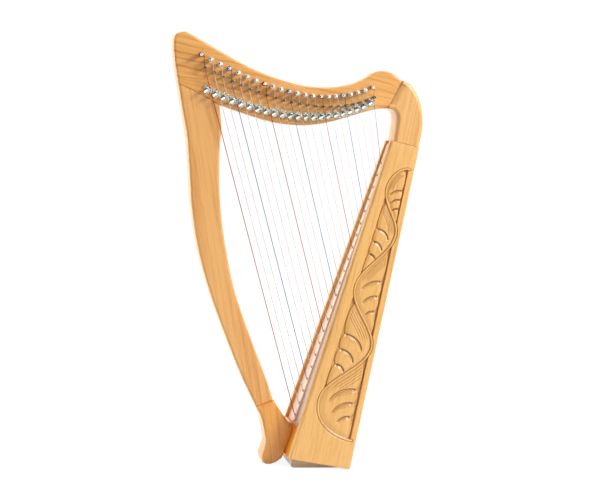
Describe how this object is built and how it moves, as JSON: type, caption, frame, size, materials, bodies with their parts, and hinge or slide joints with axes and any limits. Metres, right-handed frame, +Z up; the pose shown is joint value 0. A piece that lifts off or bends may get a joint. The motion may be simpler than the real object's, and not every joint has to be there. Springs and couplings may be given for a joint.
{
  "type": "lever harp",
  "caption": "Small lever harp with curved pillar, harmonic-curve neck, carved tapering soundbox, nylon strings, turning tuning pins and sharping levers.",
  "frame": {"origin": "on the floor, in the middle of the base wedge's flat underside", "axes": "+X from the pillar to the soundbox in the plane of the strings, -Y the string and lever side of the neck, +Z up"},
  "size_m": [0.4587, 0.122, 0.7567],
  "materials": {
    "beech": "satin clear lacquer on pale honey-coloured hardwood",
    "spruce": "satin clear lacquer on pale softwood",
    "nickel": "polished nickel plate",
    "pin_steel": "nickel-plated steel",
    "eyelet_metal": "dull plated metal",
    "nylon_clear": "clear nylon monofilament",
    "nylon_red": "red nylon monofilament",
    "nylon_blue": "blue nylon monofilament"
  },
  "bodies": {
    "frame": {"pillar": "beech", "pillar_foot": "beech", "neck": "beech", "shoulder_block": "beech", "left_side_panel": "beech", "right_side_panel": "beech", "soundboard": "spruce", "back_panel": "beech", "box_frame": "beech", "base_wedge": "beech", "string_eyelets": "eyelet_metal", "bridge_pins": "nickel", "lever_bases": "nickel", "strings_clear": "nylon_clear", "strings_red": "nylon_red", "strings_blue": "nylon_blue"},
    "lever_01": {"lever_01": "nickel"},
    "lever_02": {"lever_02": "nickel"},
    "lever_03": {"lever_03": "nickel"},
    "lever_04": {"lever_04": "nickel"},
    "lever_05": {"lever_05": "nickel"},
    "lever_06": {"lever_06": "nickel"},
    "lever_07": {"lever_07": "nickel"},
    "lever_08": {"lever_08": "nickel"},
    "lever_09": {"lever_09": "nickel"},
    "lever_10": {"lever_10": "nickel"},
    "lever_11": {"lever_11": "nickel"},
    "lever_12": {"lever_12": "nickel"},
    "lever_13": {"lever_13": "nickel"},
    "lever_14": {"lever_14": "nickel"},
    "lever_15": {"lever_15": "nickel"},
    "lever_16": {"lever_16": "nickel"},
    "lever_17": {"lever_17": "nickel"},
    "lever_18": {"lever_18": "nickel"},
    "lever_19": {"lever_19": "nickel"},
    "lever_20": {"lever_20": "nickel"},
    "lever_21": {"lever_21": "nickel"},
    "lever_22": {"lever_22": "nickel"},
    "tuning_pin_01": {"tuning_pin_01": "pin_steel"},
    "tuning_pin_02": {"tuning_pin_02": "pin_steel"},
    "tuning_pin_03": {"tuning_pin_03": "pin_steel"},
    "tuning_pin_04": {"tuning_pin_04": "pin_steel"},
    "tuning_pin_05": {"tuning_pin_05": "pin_steel"},
    "tuning_pin_06": {"tuning_pin_06": "pin_steel"},
    "tuning_pin_07": {"tuning_pin_07": "pin_steel"},
    "tuning_pin_08": {"tuning_pin_08": "pin_steel"},
    "tuning_pin_09": {"tuning_pin_09": "pin_steel"},
    "tuning_pin_10": {"tuning_pin_10": "pin_steel"},
    "tuning_pin_11": {"tuning_pin_11": "pin_steel"},
    "tuning_pin_12": {"tuning_pin_12": "pin_steel"},
    "tuning_pin_13": {"tuning_pin_13": "pin_steel"},
    "tuning_pin_14": {"tuning_pin_14": "pin_steel"},
    "tuning_pin_15": {"tuning_pin_15": "pin_steel"},
    "tuning_pin_16": {"tuning_pin_16": "pin_steel"},
    "tuning_pin_17": {"tuning_pin_17": "pin_steel"},
    "tuning_pin_18": {"tuning_pin_18": "pin_steel"},
    "tuning_pin_19": {"tuning_pin_19": "pin_steel"},
    "tuning_pin_20": {"tuning_pin_20": "pin_steel"},
    "tuning_pin_21": {"tuning_pin_21": "pin_steel"},
    "tuning_pin_22": {"tuning_pin_22": "pin_steel"}
  },
  "joints": [
    {"name": "lever_01_turn", "type": "hinge", "parent": "frame", "child": "lever_01", "pos_m": [-0.23947, -0.016, 0.66074], "axis": [0, 1, 0], "range_deg": [0, 90]},
    {"name": "lever_02_turn", "type": "hinge", "parent": "frame", "child": "lever_02", "pos_m": [-0.22404, -0.016, 0.6553], "axis": [0, 1, 0], "range_deg": [0, 90]},
    {"name": "lever_03_turn", "type": "hinge", "parent": "frame", "child": "lever_03", "pos_m": [-0.20865, -0.016, 0.65028], "axis": [0, 1, 0], "range_deg": [0, 90]},
    {"name": "lever_04_turn", "type": "hinge", "parent": "frame", "child": "lever_04", "pos_m": [-0.19333, -0.016, 0.64568], "axis": [0, 1, 0], "range_deg": [0, 90]},
    {"name": "lever_05_turn", "type": "hinge", "parent": "frame", "child": "lever_05", "pos_m": [-0.17809, -0.016, 0.64153], "axis": [0, 1, 0], "range_deg": [0, 90]},
    {"name": "lever_06_turn", "type": "hinge", "parent": "frame", "child": "lever_06", "pos_m": [-0.16295, -0.016, 0.63785], "axis": [0, 1, 0], "range_deg": [0, 90]},
    {"name": "lever_07_turn", "type": "hinge", "parent": "frame", "child": "lever_07", "pos_m": [-0.14791, -0.016, 0.63466], "axis": [0, 1, 0], "range_deg": [0, 90]},
    {"name": "lever_08_turn", "type": "hinge", "parent": "frame", "child": "lever_08", "pos_m": [-0.13299, -0.016, 0.63198], "axis": [0, 1, 0], "range_deg": [0, 90]},
    {"name": "lever_09_turn", "type": "hinge", "parent": "frame", "child": "lever_09", "pos_m": [-0.1182, -0.016, 0.62984], "axis": [0, 1, 0], "range_deg": [0, 90]},
    {"name": "lever_10_turn", "type": "hinge", "parent": "frame", "child": "lever_10", "pos_m": [-0.10356, -0.016, 0.62824], "axis": [0, 1, 0], "range_deg": [0, 90]},
    {"name": "lever_11_turn", "type": "hinge", "parent": "frame", "child": "lever_11", "pos_m": [-0.08908, -0.016, 0.62723], "axis": [0, 1, 0], "range_deg": [0, 90]},
    {"name": "lever_12_turn", "type": "hinge", "parent": "frame", "child": "lever_12", "pos_m": [-0.07477, -0.016, 0.6268], "axis": [0, 1, 0], "range_deg": [0, 90]},
    {"name": "lever_13_turn", "type": "hinge", "parent": "frame", "child": "lever_13", "pos_m": [-0.06066, -0.016, 0.627], "axis": [0, 1, 0], "range_deg": [0, 90]},
    {"name": "lever_14_turn", "type": "hinge", "parent": "frame", "child": "lever_14", "pos_m": [-0.04674, -0.016, 0.62783], "axis": [0, 1, 0], "range_deg": [0, 90]},
    {"name": "lever_15_turn", "type": "hinge", "parent": "frame", "child": "lever_15", "pos_m": [-0.03304, -0.016, 0.62932], "axis": [0, 1, 0], "range_deg": [0, 90]},
    {"name": "lever_16_turn", "type": "hinge", "parent": "frame", "child": "lever_16", "pos_m": [-0.01957, -0.016, 0.63149], "axis": [0, 1, 0], "range_deg": [0, 90]},
    {"name": "lever_17_turn", "type": "hinge", "parent": "frame", "child": "lever_17", "pos_m": [-0.00634, -0.016, 0.63436], "axis": [0, 1, 0], "range_deg": [0, 90]},
    {"name": "lever_18_turn", "type": "hinge", "parent": "frame", "child": "lever_18", "pos_m": [0.00663, -0.016, 0.63796], "axis": [0, 1, 0], "range_deg": [0, 90]},
    {"name": "lever_19_turn", "type": "hinge", "parent": "frame", "child": "lever_19", "pos_m": [0.01934, -0.016, 0.64231], "axis": [0, 1, 0], "range_deg": [0, 90]},
    {"name": "lever_20_turn", "type": "hinge", "parent": "frame", "child": "lever_20", "pos_m": [0.03175, -0.016, 0.64742], "axis": [0, 1, 0], "range_deg": [0, 90]},
    {"name": "lever_21_turn", "type": "hinge", "parent": "frame", "child": "lever_21", "pos_m": [0.04387, -0.016, 0.65333], "axis": [0, 1, 0], "range_deg": [0, 90]},
    {"name": "lever_22_turn", "type": "hinge", "parent": "frame", "child": "lever_22", "pos_m": [0.05568, -0.016, 0.66005], "axis": [0, 1, 0], "range_deg": [0, 90]},
    {"name": "tuning_pin_01_turn", "type": "hinge", "parent": "frame", "child": "tuning_pin_01", "pos_m": [-0.254, -0.016, 0.719], "axis": [0, 1, 0], "continuous": true},
    {"name": "tuning_pin_02_turn", "type": "hinge", "parent": "frame", "child": "tuning_pin_02", "pos_m": [-0.23714, -0.016, 0.71188], "axis": [0, 1, 0], "continuous": true},
    {"name": "tuning_pin_03_turn", "type": "hinge", "parent": "frame", "child": "tuning_pin_03", "pos_m": [-0.22054, -0.016, 0.70512], "axis": [0, 1, 0], "continuous": true},
    {"name": "tuning_pin_04_turn", "type": "hinge", "parent": "frame", "child": "tuning_pin_04", "pos_m": [-0.20419, -0.016, 0.69875], "axis": [0, 1, 0], "continuous": true},
    {"name": "tuning_pin_05_turn", "type": "hinge", "parent": "frame", "child": "tuning_pin_05", "pos_m": [-0.1881, -0.016, 0.6928], "axis": [0, 1, 0], "continuous": true},
    {"name": "tuning_pin_06_turn", "type": "hinge", "parent": "frame", "child": "tuning_pin_06", "pos_m": [-0.17225, -0.016, 0.6873], "axis": [0, 1, 0], "continuous": true},
    {"name": "tuning_pin_07_turn", "type": "hinge", "parent": "frame", "child": "tuning_pin_07", "pos_m": [-0.15664, -0.016, 0.68228], "axis": [0, 1, 0], "continuous": true},
    {"name": "tuning_pin_08_turn", "type": "hinge", "parent": "frame", "child": "tuning_pin_08", "pos_m": [-0.14126, -0.016, 0.67778], "axis": [0, 1, 0], "continuous": true},
    {"name": "tuning_pin_09_turn", "type": "hinge", "parent": "frame", "child": "tuning_pin_09", "pos_m": [-0.1261, -0.016, 0.67382], "axis": [0, 1, 0], "continuous": true},
    {"name": "tuning_pin_10_turn", "type": "hinge", "parent": "frame", "child": "tuning_pin_10", "pos_m": [-0.11116, -0.016, 0.67043], "axis": [0, 1, 0], "continuous": true},
    {"name": "tuning_pin_11_turn", "type": "hinge", "parent": "frame", "child": "tuning_pin_11", "pos_m": [-0.09642, -0.016, 0.66765], "axis": [0, 1, 0], "continuous": true},
    {"name": "tuning_pin_12_turn", "type": "hinge", "parent": "frame", "child": "tuning_pin_12", "pos_m": [-0.08188, -0.016, 0.66551], "axis": [0, 1, 0], "continuous": true},
    {"name": "tuning_pin_13_turn", "type": "hinge", "parent": "frame", "child": "tuning_pin_13", "pos_m": [-0.06754, -0.016, 0.66404], "axis": [0, 1, 0], "continuous": true},
    {"name": "tuning_pin_14_turn", "type": "hinge", "parent": "frame", "child": "tuning_pin_14", "pos_m": [-0.05338, -0.016, 0.66326], "axis": [0, 1, 0], "continuous": true},
    {"name": "tuning_pin_15_turn", "type": "hinge", "parent": "frame", "child": "tuning_pin_15", "pos_m": [-0.03941, -0.016, 0.66322], "axis": [0, 1, 0], "continuous": true},
    {"name": "tuning_pin_16_turn", "type": "hinge", "parent": "frame", "child": "tuning_pin_16", "pos_m": [-0.0256, -0.016, 0.66394], "axis": [0, 1, 0], "continuous": true},
    {"name": "tuning_pin_17_turn", "type": "hinge", "parent": "frame", "child": "tuning_pin_17", "pos_m": [-0.01196, -0.016, 0.66545], "axis": [0, 1, 0], "continuous": true},
    {"name": "tuning_pin_18_turn", "type": "hinge", "parent": "frame", "child": "tuning_pin_18", "pos_m": [0.00152, -0.016, 0.66779], "axis": [0, 1, 0], "continuous": true},
    {"name": "tuning_pin_19_turn", "type": "hinge", "parent": "frame", "child": "tuning_pin_19", "pos_m": [0.01485, -0.016, 0.67098], "axis": [0, 1, 0], "continuous": true},
    {"name": "tuning_pin_20_turn", "type": "hinge", "parent": "frame", "child": "tuning_pin_20", "pos_m": [0.02803, -0.016, 0.67506], "axis": [0, 1, 0], "continuous": true},
    {"name": "tuning_pin_21_turn", "type": "hinge", "parent": "frame", "child": "tuning_pin_21", "pos_m": [0.04108, -0.016, 0.68006], "axis": [0, 1, 0], "continuous": true},
    {"name": "tuning_pin_22_turn", "type": "hinge", "parent": "frame", "child": "tuning_pin_22", "pos_m": [0.054, -0.016, 0.686], "axis": [0, 1, 0], "continuous": true}
  ]
}
